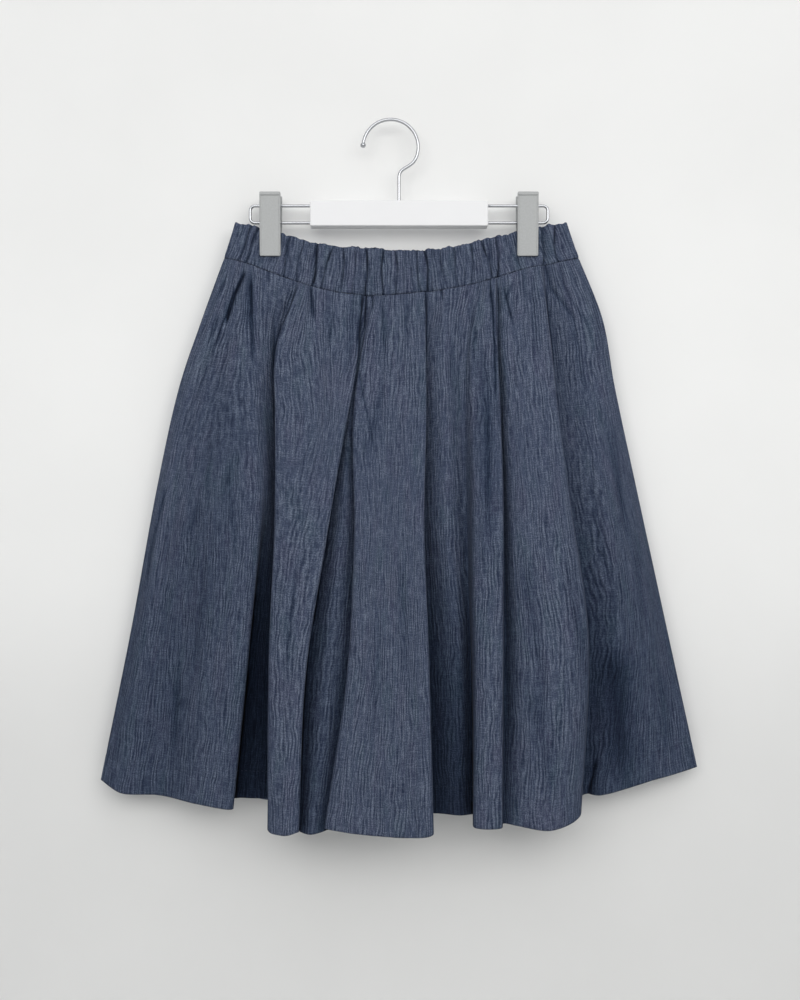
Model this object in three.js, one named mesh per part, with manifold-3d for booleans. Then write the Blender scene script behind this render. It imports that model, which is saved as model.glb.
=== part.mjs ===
// A pleated skirt with a gathered elastic waistband, held by the two clips of a trouser hanger.
// Millimetres, +Z up. The front of the skirt faces -Y and the wall that it hangs on is at +Y.
// The origin is where the hook is held: on the underside of its wire, above the stem.
// "out" in the tables is the distance in front of the hanger's plane, so y = -out.

import * as THREE from 'three';
import { mergeVertices } from 'three/addons/utils/BufferGeometryUtils.js';
import Module from 'manifold-3d';

const wasm = await Module();
wasm.setup();

// Driving sizes of the cloth
const CLOTH_WALL = 1.4;
const HEM_WALL = 2.4;
const HEM_TURN = 28;
const SKIRT_LENGTH = 535;
const SEAM_GAP = 0.3;
const SIDE_OUT = 1.0;

// Driving sizes of the hanger
const HOOK_WIRE_RADIUS = 1.7;
const HOOK_RADIUS = 28;
const HOOK_CENTRE_X = -8.5;
const HOOK_TIP_ANGLE = 176;
const HOOK_NECK_ANGLE = -20;
const HOOK_BALL_RADIUS = 2.8;
const NECK_FOOT_Z = -56;
const STEM_END_Z = -95;
const LOOP_HALF_LENGTH = 151;
const LOOP_TOP_Z = -84.7;
const LOOP_BOTTOM_Z = -102;
const LOOP_WIRE_RADIUS = 1.5;
const LOOP_CORNER_RADIUS = 5;
const LOOP_END_X = 8;
const BAR = { length: 180, height: 26, depth: 15, topZ: -80.5, crown: 0.8, edge: 0.8 };
const CLIP = { x: 130, width: 21.3, topZ: -72.6, height: 64, plate: 2.2, corner: 1.6, edge: 0.4 };
const CLIP_JAW_OUT = 4.5;
const CLIP_LEAN = 3;
const SADDLE = { width: 15, topZ: -79, bottomZ: -105, depth: 11.6 };
const WIRE_SIDES = 10;
const FIT = 0.3;

const COLOURS = { cloth: '#535d76', white: '#f1f2f4', chrome: '#c9ccd0', clip: '#b4b6b8' };

// The waistband's edges: height of its top edge and of the seam below it, and how far its top
// edge stands out, at places across the waist. The clips pinch it, and between them it bellies.
const WAIST = [
  { across: -180, top: -102, seam: -137, topOut: 1.0 },
  { across: -160, top: -103, seam: -142, topOut: 3.6 },
  { across: -130, top: -110, seam: -153, topOut: 2.8 },
  { across: -90, top: -122, seam: -166.5, topOut: 4.6 },
  { across: -45, top: -128.5, seam: -176, topOut: 6.6 },
  { across: 0, top: -131.5, seam: -175.5, topOut: 7.6 },
  { across: 45, top: -128.5, seam: -170.5, topOut: 6.6 },
  { across: 90, top: -118.5, seam: -161, topOut: 4.6 },
  { across: 130, top: -109, seam: -149, topOut: 2.8 },
  { across: 162, top: -103, seam: -143, topOut: 3.6 },
  { across: 184, top: -102, seam: -137, topOut: 1.0 },
];
const WAIST_TOP_HALF = { left: -165.5, right: 169.5 };
const BACK_RISE = { height: 4, centre: -18, width: 60 };

// The waistband's main gathers, as grooves that run from the seam up to the top edge
const GATHERS = [
  { seamX: -156, topX: -141, depth: 1.6, width: 4 },
  { seamX: -118, topX: -112, depth: 1.0, width: 3 },
  { seamX: -88, topX: -81, depth: 1.8, width: 4 },
  { seamX: -80, topX: -66, depth: 1.2, width: 3 },
  { seamX: -33, topX: -33, depth: 2.0, width: 3 },
  { seamX: -17, topX: -16, depth: 1.4, width: 3 },
  { seamX: 30, topX: 26, depth: 2.0, width: 3 },
  { seamX: 60, topX: 54, depth: 1.0, width: 4 },
  { seamX: 92, topX: 100, depth: 1.6, width: 4 },
  { seamX: 145, topX: 146, depth: 1.6, width: 3 },
  { seamX: 162, topX: 158, depth: 1.2, width: 3 },
];
const RIPPLE = { pitch: 11, height: 0.75, drift: 3, wander: 2.6, wanderPitch: 47 };

// Each fold of the front panel, from the left side to the right: where it lies across the panel
// and how far out, at six stations down the panel, and the height of the hem there.
const STATIONS = [0, 0.12, 0.25, 0.45, 0.7, 1];
const FRONT_FOLDS = [
  { fold: 'left side', x: [-177, -200, -223, -246, -270, -302], out: [1, 1, 1, 1, 1, 1], hem: -667 },
  { fold: 'side swell', x: [-169, -187, -210, -234, -255, -279], out: [4, 10, 12, 13, 14, 14], hem: -677 },
  { fold: 'side valley', x: [-159, -174, -193, -214, -225, -242], out: [6, 6, 7, 8, 9, 10], hem: -680 },
  { fold: 'L crown', x: [-154, -162, -167, -174, -181, -198], out: [7, 12, 18, 24, 29, 32], hem: -684 },
  { fold: 'L edge', x: [-150, -149, -146, -139, -149, -165], out: [8, 15, 21, 28, 33, 36], hem: -688 },
  { fold: 'A under L', x: [-146, -150, -148, -142, -153, -169], out: [6, 7, 8, 9, 10, 11], hem: -684 },
  { fold: 'A floor', x: [-125, -134, -135, -131, -140, -149], out: [8, 10, 11, 12, 12, 12], hem: -684 },
  { fold: 'A under P', x: [-104, -119, -119, -117, -122, -123], out: [7, 8, 10, 12, 14, 15], hem: -688 },
  { fold: 'P left edge', x: [-99, -122, -122, -121, -126, -127], out: [8, 16, 26, 38, 48, 55], hem: -702 },
  { fold: 'P crease', x: [-87, -86, -81, -97, -108, -114], out: [6, 15, 30, 45, 56, 62], hem: -705 },
  { fold: 'P crown', x: [-60, -63, -66, -84, -99, -106], out: [9, 20, 33, 47, 58, 63], hem: -705 },
  { fold: 'P right edge', x: [-38, -42, -53, -70, -90, -98], out: [9, 20, 33, 46, 57, 61], hem: -703 },
  { fold: 'B under P', x: [-35, -45, -56, -73, -92, -99], out: [6, 11, 17, 24, 32, 42], hem: -699 },
  { fold: 'B ridge', x: [-32, -41, -49, -57, -69, -86], out: [7, 12, 20, 32, 42, 50], hem: -701 },
  { fold: 'B under C', x: [-29, -37, -43, -42, -48, -71], out: [6, 11, 17, 26, 36, 46], hem: -700 },
  { fold: 'C left edge', x: [-25, -38, -45, -43, -49, -71], out: [8, 15, 26, 41, 53, 58], hem: -701 },
  { fold: 'C left face', x: [-12, -16, -17, -19, -20, -33], out: [8, 16, 27, 42, 56, 64], hem: -705 },
  { fold: 'C crown', x: [11, 11, 10, 6, 9, 6], out: [9, 20, 33, 47, 60, 68], hem: -706 },
  { fold: 'C right edge', x: [27, 30, 30, 24, 31, 32], out: [9, 21, 34, 48, 62, 70], hem: -703 },
  { fold: 'D under C', x: [31, 28, 27, 22, 28, 29], out: [6, 10, 15, 20, 24, 28], hem: -695 },
  { fold: 'D ridge', x: [48, 45, 46, 47, 58, 61], out: [8, 16, 25, 33, 35, 34], hem: -694 },
  { fold: 'D valley', x: [78, 68, 65, 67, 71, 75], out: [6, 10, 15, 21, 26, 29], hem: -695 },
  { fold: 'E left edge', x: [85, 75, 75, 75, 75, 73], out: [8, 16, 28, 42, 54, 62], hem: -699 },
  { fold: 'E right edge', x: [96, 97, 99, 100, 99, 97], out: [9, 20, 32, 45, 57, 64], hem: -699 },
  { fold: 'F under E', x: [100, 98, 101, 103, 104, 101], out: [6, 11, 19, 28, 38, 50], hem: -698 },
  { fold: 'F left rise', x: [105, 104, 109, 112, 118, 116], out: [8, 17, 29, 40, 51, 60], hem: -698 },
  { fold: 'F crown', x: [124, 126, 129, 137, 149, 146], out: [9, 20, 33, 47, 60, 67], hem: -699 },
  { fold: 'F shoulder', x: [141, 147, 153, 165, 175, 163], out: [9, 16, 26, 38, 46, 55], hem: -697 },
  { fold: 'G floor', x: [147, 152, 159, 175, 192, 181], out: [5, 6, 8, 10, 12, 11], hem: -679 },
  { fold: 'H rise', x: [162, 181, 190, 206, 219, 200], out: [9, 14, 15, 16, 17, 16], hem: -679 },
  { fold: 'H face', x: [174, 196, 207, 226, 250, 250], out: [5, 9, 10, 11, 12, 12], hem: -667 },
  { fold: 'right side', x: [182, 206, 218, 240, 268, 302], out: [1, 1, 1, 1, 1, 1], hem: -653 },
];

// The back panel's folds are softer, because they lie near the wall
const BACK_FOLDS = [
  { fold: 'left side', x: [-177, -200, -223, -246, -270, -302], out: [-1, -1, -1, -1, -1, -1], hem: -667 },
  { fold: 'ridge 1', x: [-162, -180, -202, -223, -245, -268], out: [-5, -8, -9, -10, -11, -12], hem: -674 },
  { fold: 'valley 1', x: [-142, -153, -166, -180, -198, -216], out: [-4, -4, -4, -4, -5, -5], hem: -679 },
  { fold: 'ridge 2', x: [-118, -125, -134, -144, -157, -174], out: [-6, -9, -11, -13, -14, -14], hem: -684 },
  { fold: 'valley 2', x: [-90, -93, -98, -105, -113, -122], out: [-5, -4, -4, -5, -5, -5], hem: -689 },
  { fold: 'ridge 3', x: [-62, -64, -67, -71, -77, -84], out: [-7, -10, -12, -13, -14, -15], hem: -693 },
  { fold: 'valley 3', x: [-30, -31, -32, -33, -35, -38], out: [-6, -5, -5, -5, -5, -5], hem: -696 },
  { fold: 'ridge 4', x: [2, 2, 3, 4, 5, 6], out: [-7, -10, -12, -13, -14, -15], hem: -697 },
  { fold: 'valley 4', x: [34, 36, 39, 43, 47, 51], out: [-6, -5, -5, -5, -5, -5], hem: -695 },
  { fold: 'ridge 5', x: [62, 67, 72, 79, 87, 95], out: [-7, -10, -12, -13, -14, -15], hem: -691 },
  { fold: 'valley 5', x: [92, 99, 106, 114, 124, 136], out: [-5, -4, -4, -5, -5, -5], hem: -686 },
  { fold: 'ridge 6', x: [120, 131, 140, 151, 164, 180], out: [-6, -9, -11, -13, -14, -14], hem: -678 },
  { fold: 'valley 6', x: [145, 159, 169, 183, 202, 223], out: [-4, -4, -4, -4, -5, -5], hem: -670 },
  { fold: 'ridge 7', x: [165, 186, 200, 219, 243, 270], out: [-5, -8, -9, -10, -11, -12], hem: -661 },
  { fold: 'right side', x: [182, 206, 218, 240, 268, 302], out: [-1, -1, -1, -1, -1, -1], hem: -653 },
];

const FRONT_ROWS = 13;
const BACK_ROWS = 9;
const BAND_ROWS = 4;
const BAND_STEPS = 100;
const FOLD_STEP = { width: 10, least: 2, most: 4 };

function smoothAlong(knots, values, at) {
  let i = 0;
  while (i < knots.length - 2 && at > knots[i + 1]) {
    i += 1;
  }
  const slope = (k) => {
    const before = Math.max(k - 1, 0);
    const after = Math.min(k + 1, knots.length - 1);
    return (values[after] - values[before]) / (knots[after] - knots[before]);
  };
  const span = knots[i + 1] - knots[i];
  const f = THREE.MathUtils.clamp((at - knots[i]) / span, 0, 1);
  const rise = f * f * (3 - 2 * f);
  const leave = f * (1 - f) * (1 - f) * span;
  const arrive = f * f * (f - 1) * span;
  return values[i] * (1 - rise) + values[i + 1] * rise + slope(i) * leave + slope(i + 1) * arrive;
}

function waistAt(column, x) {
  return smoothAlong(WAIST.map((row) => row.across), WAIST.map((row) => row[column]), x);
}

// The back of the waist hangs a little higher than the front in the middle
function seamRise(side, x) {
  const swell = Math.exp(-(((x - BACK_RISE.centre) / BACK_RISE.width) ** 2));
  return side < 0 ? BACK_RISE.height * swell : 0;
}

// The points across one panel at a station down it, as (x, out) on the middle of the cloth
function panelSection(folds, station) {
  const keys = folds.map((fold) => new THREE.Vector3(
    smoothAlong(STATIONS, fold.x, station),
    smoothAlong(STATIONS, fold.out, station),
    0,
  ));
  const curve = new THREE.CatmullRomCurve3(keys, false, 'centripetal');
  const last = folds.length - 1;
  const points = [];
  for (let i = 0; i < last; i += 1) {
    const steps = foldSteps(folds, i);
    for (let k = 0; k < steps; k += 1) {
      points.push({ place: i + k / steps, point: curve.getPoint((i + k / steps) / last) });
    }
  }
  points.push({ place: last, point: curve.getPoint(1) });
  return points;
}

function foldSteps(folds, i) {
  const width = Math.abs(folds[i + 1].x.at(-1) - folds[i].x.at(-1));
  return THREE.MathUtils.clamp(Math.round(width / FOLD_STEP.width), FOLD_STEP.least, FOLD_STEP.most);
}

function panelStations(rows) {
  const hemTop = 1 - HEM_TURN / SKIRT_LENGTH;
  const stations = [];
  for (let i = 0; i <= rows; i += 1) {
    stations.push({ at: hemTop * (i / rows) ** 1.2, wall: CLOTH_WALL });
  }
  stations.push({ at: hemTop + 0.5 / SKIRT_LENGTH, wall: HEM_WALL });
  stations.push({ at: 1, wall: HEM_WALL });
  return stations;
}

// A panel hangs from the waist seam. Its hem is doubled on the inside.
function panel(folds, rows, side) {
  const sections = panelStations(rows).map(({ at, wall }) => {
    const seamRow = panelSection(folds, 0);
    return panelSection(folds, at).map(({ place, point }, column) => {
      const seamX = seamRow[column].point.x;
      const seamZ = waistAt('seam', seamX) + seamRise(side, seamX) - SEAM_GAP;
      const hemZ = smoothAlong(folds.map((fold, i) => i), folds.map((fold) => fold.hem), place);
      const z = THREE.MathUtils.lerp(seamZ, hemZ, at);
      const fromSide = Math.min(place, folds.length - 1 - place);
      const hemShare = THREE.MathUtils.smoothstep(fromSide, 0, 1);
      const thickness = THREE.MathUtils.lerp(CLOTH_WALL, wall, hemShare);
      return { x: point.x, out: point.y, z, wall: thickness };
    });
  });
  return clothWall(sections, -side);
}

// The middle of the waistband. Its seam edge follows the top edge of the panel below it.
function bandPoint(folds, side, across, up) {
  const seamKeys = folds.map((fold) => fold.x[0]);
  const left = THREE.MathUtils.lerp(seamKeys[0], WAIST_TOP_HALF.left, up);
  const right = THREE.MathUtils.lerp(seamKeys.at(-1), WAIST_TOP_HALF.right, up);
  const x = THREE.MathUtils.lerp(left, right, across);
  const seamOut = side * smoothAlong(seamKeys, folds.map((fold) => fold.out[0]), x);
  const pinched = THREE.MathUtils.smoothstep(up, 0, 0.3);
  const base = THREE.MathUtils.lerp(seamOut, waistAt('topOut', x), pinched);
  const edge = THREE.MathUtils.smoothstep(Math.min(across, 1 - across), 0, 0.05);
  const wander = RIPPLE.wander * Math.sin(x / RIPPLE.wanderPitch * 2 * Math.PI);
  const phase = (x + wander + RIPPLE.drift * up * side) / RIPPLE.pitch * 2 * Math.PI;
  let out = base + RIPPLE.height * Math.sin(phase) * edge;
  for (const gather of GATHERS) {
    const centre = side * THREE.MathUtils.lerp(gather.seamX, gather.topX, up);
    out -= gather.depth * Math.exp(-(((x - centre) / gather.width) ** 2)) * edge;
  }
  return { x, out: side * Math.max(out, SIDE_OUT) };
}

function band(folds, side) {
  const sections = [];
  for (let row = 0; row <= BAND_ROWS; row += 1) {
    const up = 1 - row / BAND_ROWS;
    const section = [];
    for (let column = 0; column <= BAND_STEPS; column += 1) {
      const { x, out } = bandPoint(folds, side, column / BAND_STEPS, up);
      const level = THREE.MathUtils.lerp(waistAt('seam', x), waistAt('top', x), up);
      const z = level + seamRise(side, x);
      section.push({ x, out, z, wall: CLOTH_WALL });
    }
    sections.push(section);
  }
  return clothWall(sections, -side);
}

// A closed wall from rows of points on the middle of the cloth. Half of the plain thickness is
// on either side, and what a doubled hem adds lies on the inside (-1 behind, 1 in front).
function clothWall(sections, inside) {
  const rows = sections.length;
  const columns = sections[0].length;
  const positions = [];
  const half = CLOTH_WALL / 2;
  const offset = (section, j, distance) => {
    const before = section[Math.max(j - 1, 0)];
    const after = section[Math.min(j + 1, columns - 1)];
    const alongX = after.x - before.x;
    const alongOut = after.out - before.out;
    const length = Math.hypot(alongX, alongOut);
    const x = section[j].x - alongOut / length * distance;
    const out = section[j].out + alongX / length * distance;
    positions.push(x, -out, section[j].z);
  };
  for (const section of sections) {
    section.forEach((point, j) => offset(section, j, inside > 0 ? point.wall - half : half));
  }
  for (const section of sections) {
    section.forEach((point, j) => offset(section, j, inside > 0 ? -half : half - point.wall));
  }
  const near = (i, j) => i * columns + j;
  const far = (i, j) => (rows + i) * columns + j;
  const faces = [];
  const quad = (a, b, c, d) => faces.push(a, b, c, a, c, d);
  for (let i = 0; i < rows - 1; i += 1) {
    for (let j = 0; j < columns - 1; j += 1) {
      quad(near(i, j), near(i + 1, j), near(i + 1, j + 1), near(i, j + 1));
      quad(far(i, j), far(i, j + 1), far(i + 1, j + 1), far(i + 1, j));
    }
    quad(far(i, 0), far(i + 1, 0), near(i + 1, 0), near(i, 0));
    quad(near(i, columns - 1), near(i + 1, columns - 1), far(i + 1, columns - 1), far(i, columns - 1));
  }
  for (let j = 0; j < columns - 1; j += 1) {
    quad(near(0, j), near(0, j + 1), far(0, j + 1), far(0, j));
    quad(far(rows - 1, j), far(rows - 1, j + 1), near(rows - 1, j + 1), near(rows - 1, j));
  }
  const geometry = new THREE.BufferGeometry();
  geometry.setAttribute('position', new THREE.Float32BufferAttribute(positions, 3));
  geometry.setIndex(faces);
  return geometry;
}

// A wire bent through listed points, with one ring of the tube at each of them
class BentWire extends THREE.Curve {
  constructor(points) {
    super();
    this.points = points;
  }

  getPoint(t) {
    const along = t * (this.points.length - 1);
    const i = Math.min(Math.floor(along), this.points.length - 2);
    return this.points[i].clone().lerp(this.points[i + 1], along - i);
  }

  getPointAt(t) {
    return this.getPoint(t);
  }

  getTangentAt(t) {
    return this.getTangent(t);
  }
}

function wire(points, radius) {
  const section = new THREE.Shape();
  section.absarc(0, 0, radius, 0, 2 * Math.PI, false);
  return new THREE.ExtrudeGeometry(section, {
    steps: points.length - 1,
    curveSegments: WIRE_SIDES / 2,
    extrudePath: new BentWire(points),
  });
}

function arcPoints(centreX, centreZ, radius, fromDegrees, toDegrees, steps) {
  const points = [];
  for (let i = 0; i <= steps; i += 1) {
    const angle = THREE.MathUtils.degToRad(THREE.MathUtils.lerp(fromDegrees, toDegrees, i / steps));
    points.push(new THREE.Vector3(
      centreX + radius * Math.cos(angle),
      0,
      centreZ + radius * Math.sin(angle),
    ));
  }
  return points;
}

function solid(geometry) {
  const bare = geometry.clone();
  bare.deleteAttribute('normal');
  bare.deleteAttribute('uv');
  const merged = mergeVertices(bare, 1e-4);
  return new wasm.Manifold(new wasm.Mesh({
    numProp: 3,
    vertProperties: new Float32Array(merged.attributes.position.array),
    triVerts: new Uint32Array(merged.index.array),
  }));
}

function geometryOf(manifold) {
  const mesh = manifold.getMesh();
  const geometry = new THREE.BufferGeometry();
  geometry.setAttribute('position', new THREE.Float32BufferAttribute(mesh.vertProperties, 3));
  geometry.setIndex(Array.from(mesh.triVerts));
  return geometry;
}

// The hook: a round sweep, an eased neck and a straight stem, with a ball on its tip
function hookRoute() {
  const centreZ = HOOK_WIRE_RADIUS - Math.sqrt(HOOK_RADIUS ** 2 - HOOK_CENTRE_X ** 2);
  const sweep = arcPoints(HOOK_CENTRE_X, centreZ, HOOK_RADIUS, HOOK_TIP_ANGLE, HOOK_NECK_ANGLE, 22);
  const neckTop = sweep.at(-1);
  const angle = THREE.MathUtils.degToRad(HOOK_NECK_ANGLE);
  const away = new THREE.Vector3(Math.sin(angle), 0, -Math.cos(angle)).multiplyScalar(14);
  const neck = new THREE.CubicBezierCurve3(
    neckTop,
    neckTop.clone().add(away),
    new THREE.Vector3(0, 0, NECK_FOOT_Z + 12),
    new THREE.Vector3(0, 0, NECK_FOOT_Z),
  );
  return [...sweep, ...neck.getPoints(8).slice(1), new THREE.Vector3(0, 0, STEM_END_Z)];
}

function hook() {
  const route = hookRoute();
  const ball = new THREE.SphereGeometry(HOOK_BALL_RADIUS, 12, 8).translate(...route[0].toArray());
  return geometryOf(solid(wire(route, HOOK_WIRE_RADIUS)).add(solid(ball)));
}

// The wire loop: its two ends stop inside the bar, on either side of the hook's stem
function loopRoute(endX) {
  const x = LOOP_HALF_LENGTH - LOOP_CORNER_RADIUS;
  const r = LOOP_CORNER_RADIUS;
  return [
    new THREE.Vector3(-endX, 0, LOOP_TOP_Z),
    ...arcPoints(-x, LOOP_TOP_Z - r, r, 90, 180, 4),
    ...arcPoints(-x, LOOP_BOTTOM_Z + r, r, 180, 270, 4),
    ...arcPoints(x, LOOP_BOTTOM_Z + r, r, -90, 0, 4),
    ...arcPoints(x, LOOP_TOP_Z - r, r, 0, 90, 4),
    new THREE.Vector3(endX, 0, LOOP_TOP_Z),
  ];
}

function loopTool() {
  return solid(wire(loopRoute(LOOP_END_X - FIT), LOOP_WIRE_RADIUS + FIT));
}

function bar() {
  const halfLength = BAR.length / 2 - BAR.edge;
  const bottomZ = BAR.topZ - BAR.height + BAR.edge;
  const shape = new THREE.Shape();
  shape.moveTo(-halfLength, bottomZ);
  shape.lineTo(halfLength, bottomZ);
  shape.lineTo(halfLength, BAR.topZ - BAR.edge - BAR.crown);
  shape.quadraticCurveTo(0, BAR.topZ - BAR.edge + BAR.crown, -halfLength, BAR.topZ - BAR.edge - BAR.crown);
  const body = new THREE.ExtrudeGeometry(shape, {
    depth: BAR.depth - 2 * BAR.edge,
    bevelThickness: BAR.edge,
    bevelSize: BAR.edge,
    bevelSegments: 2,
    curveSegments: 8,
  });
  body.translate(0, 0, -BAR.depth / 2 + BAR.edge);
  body.rotateX(Math.PI / 2);
  const stemFrom = new THREE.Vector3(0, 0, NECK_FOOT_Z);
  const stemTo = new THREE.Vector3(0, 0, STEM_END_Z - FIT);
  const stemTool = solid(wire([stemFrom, stemTo], HOOK_WIRE_RADIUS + FIT));
  return geometryOf(solid(body).subtract(loopTool()).subtract(stemTool));
}

// A clip's jaw is a flat plate with rounded corners that leans in to the waistband
function jaw(x, side) {
  const halfWidth = CLIP.width / 2 - CLIP.edge;
  const halfHeight = CLIP.height / 2 - CLIP.edge;
  const c = CLIP.corner;
  const shape = new THREE.Shape();
  shape.moveTo(-halfWidth + c, -halfHeight);
  shape.absarc(halfWidth - c, -halfHeight + c, c, -Math.PI / 2, 0, false);
  shape.absarc(halfWidth - c, halfHeight - c, c, 0, Math.PI / 2, false);
  shape.absarc(-halfWidth + c, halfHeight - c, c, Math.PI / 2, Math.PI, false);
  shape.absarc(-halfWidth + c, -halfHeight + c, c, Math.PI, 1.5 * Math.PI, false);
  const plate = new THREE.ExtrudeGeometry(shape, {
    depth: CLIP.plate - 2 * CLIP.edge,
    bevelThickness: CLIP.edge,
    bevelSize: CLIP.edge,
    bevelSegments: 1,
    curveSegments: 3,
  });
  plate.translate(0, halfHeight + CLIP.edge, CLIP.edge);
  plate.rotateX(Math.PI / 2 + side * THREE.MathUtils.degToRad(CLIP_LEAN));
  if (side < 0) {
    plate.translate(0, CLIP.plate, 0);
  }
  plate.translate(x, -side * CLIP_JAW_OUT, CLIP.topZ - CLIP.height);
  return plate;
}

function saddle(x) {
  const height = SADDLE.topZ - SADDLE.bottomZ;
  const block = new THREE.BoxGeometry(SADDLE.width, SADDLE.depth, height);
  block.translate(x, 0, SADDLE.topZ - height / 2);
  return geometryOf(solid(block).subtract(loopTool()));
}

const MATERIALS = {
  cloth: new THREE.MeshStandardMaterial({ color: COLOURS.cloth, roughness: 0.9, metalness: 0 }),
  white: new THREE.MeshStandardMaterial({ color: COLOURS.white, roughness: 0.45, metalness: 0 }),
  chrome: new THREE.MeshStandardMaterial({ color: COLOURS.chrome, roughness: 0.15, metalness: 1 }),
  clip: new THREE.MeshStandardMaterial({ color: COLOURS.clip, roughness: 0.4, metalness: 0.6 }),
};

const skirt = new THREE.Group();

function add(name, geometry, material) {
  const mesh = new THREE.Mesh(geometry, MATERIALS[material]);
  mesh.name = name;
  skirt.add(mesh);
}

add('skirt_front', panel(FRONT_FOLDS, FRONT_ROWS, 1), 'cloth');
add('skirt_back', panel(BACK_FOLDS, BACK_ROWS, -1), 'cloth');
add('waistband_front', band(FRONT_FOLDS, 1), 'cloth');
add('waistband_back', band(BACK_FOLDS, -1), 'cloth');
add('hanger_hook', hook(), 'chrome');
add('hanger_wire_loop', wire(loopRoute(LOOP_END_X), LOOP_WIRE_RADIUS), 'chrome');
add('hanger_bar', bar(), 'white');
for (const [label, x] of [['left', -CLIP.x], ['right', CLIP.x]]) {
  add(`clip_${label}_front_jaw`, jaw(x, 1), 'clip');
  add(`clip_${label}_back_jaw`, jaw(x, -1), 'clip');
  add(`clip_${label}_saddle`, saddle(x), 'clip');
}

export default skirt;
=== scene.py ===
"""A pleated skirt in crinkled blue-grey cloth, hanging from the clips of a white bar hanger.

The cloth's folds follow the fold tables of the solids, with a few edges and hems moved by up to
11 mm, and with the fine crinkle, the creases and the stitching added. Sizes in the tables are
millimetres, and Blender's are metres. "out" is the distance in front of the hanger's plane, so
y = -out.
"""

import math
from collections import namedtuple

import bmesh
import bpy
import numpy as np
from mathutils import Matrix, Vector


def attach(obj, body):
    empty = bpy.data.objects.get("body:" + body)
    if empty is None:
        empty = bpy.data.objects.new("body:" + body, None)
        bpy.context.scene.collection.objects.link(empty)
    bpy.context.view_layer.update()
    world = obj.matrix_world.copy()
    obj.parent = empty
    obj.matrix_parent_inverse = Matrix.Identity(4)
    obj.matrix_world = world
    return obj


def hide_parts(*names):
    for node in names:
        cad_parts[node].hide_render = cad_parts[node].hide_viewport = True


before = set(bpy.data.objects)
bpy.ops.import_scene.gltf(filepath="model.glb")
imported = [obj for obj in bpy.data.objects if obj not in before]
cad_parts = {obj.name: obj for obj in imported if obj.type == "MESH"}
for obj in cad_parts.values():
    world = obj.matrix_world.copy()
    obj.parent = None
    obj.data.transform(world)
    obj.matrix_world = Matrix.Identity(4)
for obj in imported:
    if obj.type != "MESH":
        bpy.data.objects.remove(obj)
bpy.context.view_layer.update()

MM = 0.001
SEED = 7

# The photograph's frame, and the places in it that set the camera
IMAGE_HEIGHT_PX = 1000
FOCAL_PX = 1165
CAMERA_DISTANCE = 1182
CAMERA_X = 1
CAMERA_Z = -383
WALL_Y = 19
FLOOR_Z = -1650
STAGE_HALF_WIDTH = 2600
STAGE_FRONT_Y = -3200
STAGE_BACK_Y = 2600
WALL_TOP_Z = 1500

# Driving sizes of the cloth
CLOTH_WALL = 1.2
HEM_WALL = 2.2
HEM_TURN = 28
SKIRT_LENGTH = 535
BAND_HALF_WALL = 0.9
BAND_HEIGHT = 43
SEAM_GAP = 0.3
SIDE_OUT = 1.0

# The cloth's meshes, as (rows down, columns across); the rows are odd in number
FRONT_GRID = (125, 520)
BACK_GRID = (91, 420)
FRONT_BAND_GRID = (27, 720)
BACK_BAND_GRID = (21, 640)
SEAM_ROWS = 4
HEM_ROWS = 12
SEAM_SHARE = 0.02
UPPER_SHARE = 0.36

# Painted shade: how much darker the cloth's colour is painted beside foremost folds, in creases,
# under laps and in gathers
RECESS_SHADE = 0.22
CREASE_SHADE = 0.86
CREASE_FULL_DEPTH = 2.4
LAP_SHADE = 0.88
GATHER_SHADE = 0.65
GATHER_FULL_DEPTH = 4

# The stitches of the hem
STITCH_PITCH = 4.2
STITCH_LENGTH = 1.5
STITCH_RADIUS = 0.28
STITCH_LIFT = 0.1
STITCH_DIP = 0.35

# The waistband's edges at places across the waist, as in the solids
Waist = namedtuple("Waist", "across top seam top_out")
WAIST = [Waist(*row) for row in (
    (-180, -102, -137, 1.0),
    (-160, -103, -142, 3.6),
    (-130, -110, -153, 2.8),
    (-90, -122, -166.5, 4.6),
    (-45, -128.5, -176, 6.6),
    (0, -131.5, -175.5, 7.6),
    (45, -128.5, -170.5, 6.6),
    (90, -118.5, -161, 4.6),
    (130, -109, -149, 2.8),
    (162, -103, -143, 3.6),
    (184, -102, -137, 1.0),
)]
WAIST_TOP_LEFT = -165.5
WAIST_TOP_RIGHT = 169.5
BACK_RISE_HEIGHT = 4
BACK_RISE_CENTRE = -18
BACK_RISE_WIDTH = 60

# The waistband's main gathers, as grooves from the seam up to the top edge
Gather = namedtuple("Gather", "seam_x top_x depth width")
GATHERS = [Gather(*row) for row in (
    (-170, -160, 0.9, 2.2),
    (-163, -148, 1.3, 2.4),
    (-156, -141, 1.8, 3.0),
    (-143, -133, 0.8, 2.4),
    (-118, -110, 1.2, 2.6),
    (-104, -97, 0.9, 2.2),
    (-88, -81, 2.8, 3.0),
    (-80, -66, 1.5, 2.6),
    (-58, -56, 1.3, 2.4),
    (-46, -45, 0.7, 2.4),
    (-33, -33, 2.4, 2.6),
    (-17, -16, 1.7, 2.4),
    (-2, -4, 0.8, 2.4),
    (13, 11, 0.7, 2.2),
    (22, 16, 1.1, 2.4),
    (30, 26, 2.2, 2.6),
    (45, 42, 0.7, 2.2),
    (60, 54, 1.0, 2.6),
    (74, 73, 0.8, 2.4),
    (94, 84, 1.5, 2.6),
    (100, 99, 1.8, 2.4),
    (122, 118, 0.7, 2.2),
    (145, 146, 1.8, 2.6),
    (160, 156, 1.5, 2.6),
    (172, 164, 0.8, 2.4),
)]
RIPPLE_PITCH = 11
RIPPLE_HEIGHT = 0.4
RIPPLE_DRIFT = 3
RIPPLE_WANDER = 2.6
RIPPLE_WANDER_PITCH = 47

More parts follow.
